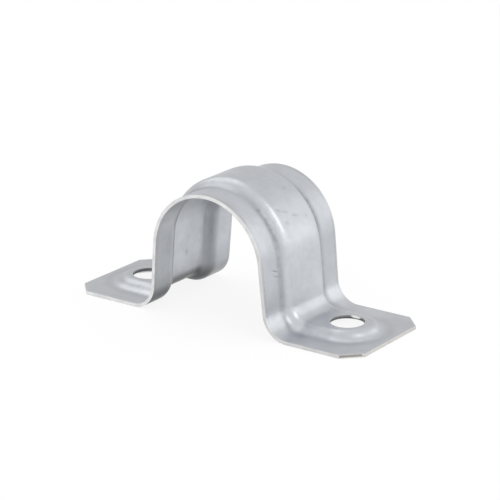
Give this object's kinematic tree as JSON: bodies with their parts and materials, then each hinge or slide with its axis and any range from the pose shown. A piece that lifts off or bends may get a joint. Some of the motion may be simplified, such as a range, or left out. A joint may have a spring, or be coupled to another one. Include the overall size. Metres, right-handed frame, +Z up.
{
  "type": "conduit strap",
  "caption": "Pressed steel strap: a ribbed arch that holds a conduit to a surface, with a flat screw foot with clipped corners on each side.",
  "frame": {"origin": "in the plane that the feet rest on, midway between the screw holes and midway across the strip", "axes": "+X from foot to foot, +Y along the conduit, +Z up from the mounting surface through the top of the arch"},
  "size_m": [0.0528, 0.0198, 0.0216],
  "materials": {
    "zinc_plated_steel": "bright zinc plating, satin, lightly scuffed"
  },
  "bodies": {
    "root": {"strap": "zinc_plated_steel"}
  },
  "joints": []
}
